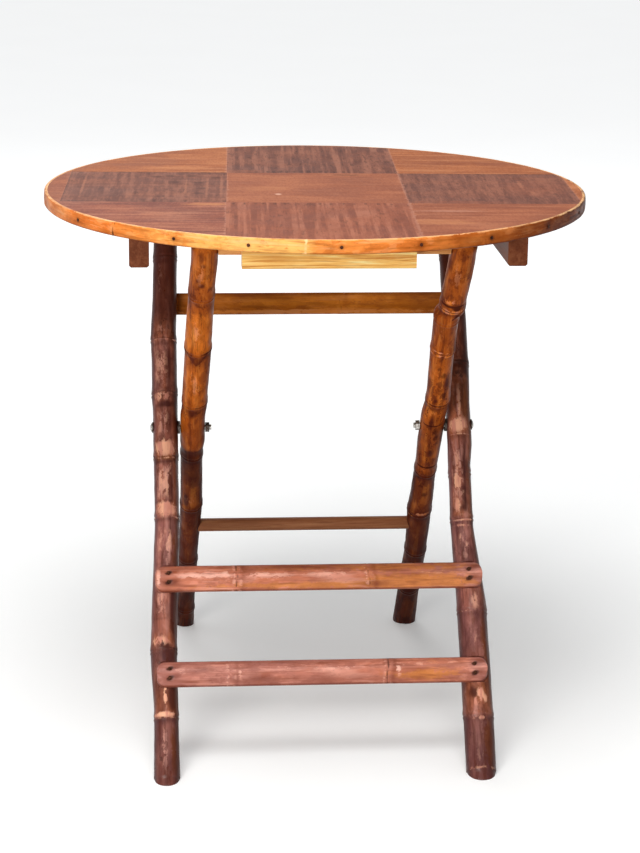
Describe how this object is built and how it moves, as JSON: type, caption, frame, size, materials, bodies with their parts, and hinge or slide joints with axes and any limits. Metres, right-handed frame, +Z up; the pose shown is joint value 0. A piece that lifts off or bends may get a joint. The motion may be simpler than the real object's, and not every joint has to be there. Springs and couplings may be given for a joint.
{
  "type": "folding round table",
  "caption": "Round folding occasional table with a parquetry top on crossed frames of knobby bamboo poles, hinged at the back of the top.",
  "frame": {"origin": "on the floor under the middle of the round top", "axes": "+X to the right, +Y to the back where the top is hinged, +Z up"},
  "size_m": [0.61, 0.6107, 0.611],
  "materials": {
    "board_wood": "bare board",
    "edge_bamboo": "varnished split bamboo",
    "dark_iron": "dull, darkened",
    "bright_steel": "worn",
    "veneer_orange": "satin varnish",
    "veneer_smoke": "satin varnish",
    "veneer_red": "satin varnish",
    "veneer_brown": "satin varnish",
    "batten_wood": "satin varnish",
    "pine": "satin varnish",
    "bamboo_red": "gloss varnish",
    "bamboo_pink": "gloss varnish",
    "bamboo_amber": "gloss varnish"
  },
  "bodies": {
    "outer_frame": {"outer_pole_left": "bamboo_red", "outer_pole_right": "bamboo_red", "front_stretcher_upper": "bamboo_pink", "front_stretcher_lower": "bamboo_pink", "back_crossbar": "bamboo_amber", "stretcher_nails": "dark_iron", "crossbar_nails": "dark_iron", "pivot_bolt_left": "bright_steel", "pivot_bolt_right": "bright_steel", "bolt_washer_left": "dark_iron", "bolt_washer_right": "dark_iron", "pivot_spacer_left": "dark_iron", "pivot_spacer_right": "dark_iron", "pivot_nut_left": "dark_iron", "pivot_nut_right": "bright_steel"},
    "inner_frame": {"inner_pole_left": "bamboo_amber", "inner_pole_right": "bamboo_amber", "rear_stretcher": "bamboo_amber", "inner_top_bar": "pine"},
    "table_top": {"top_board": "board_wood", "edge_band_front": "edge_bamboo", "edge_band_back": "edge_bamboo", "edge_nails": "dark_iron", "veneer_northwest": "veneer_orange", "veneer_north": "veneer_smoke", "veneer_northeast": "veneer_orange", "veneer_west": "veneer_smoke", "veneer_centre": "veneer_red", "veneer_east": "veneer_smoke", "veneer_southwest": "veneer_red", "veneer_south": "veneer_brown", "veneer_southeast": "veneer_red", "veneer_west_tip": "veneer_brown", "veneer_east_tip": "veneer_orange", "batten_left": "batten_wood", "batten_right": "batten_wood", "stop_rail": "pine", "hinge_pin_left": "dark_iron", "hinge_pin_right": "dark_iron"}
  },
  "joints": [
    {"name": "leg_fold", "type": "hinge", "parent": "outer_frame", "child": "inner_frame", "pos_m": [0, -0.006, 0.332], "axis": [-1, 0, 0], "range_deg": [0, 66]},
    {"name": "top_tilt", "type": "hinge", "parent": "outer_frame", "child": "table_top", "pos_m": [0, 0.17624, 0.581], "axis": [-1, 0, 0], "range_deg": [0, 33]}
  ],
  "couplings": [
    {"joint": "top_tilt", "follows": "leg_fold", "ratio": 0.5}
  ]
}
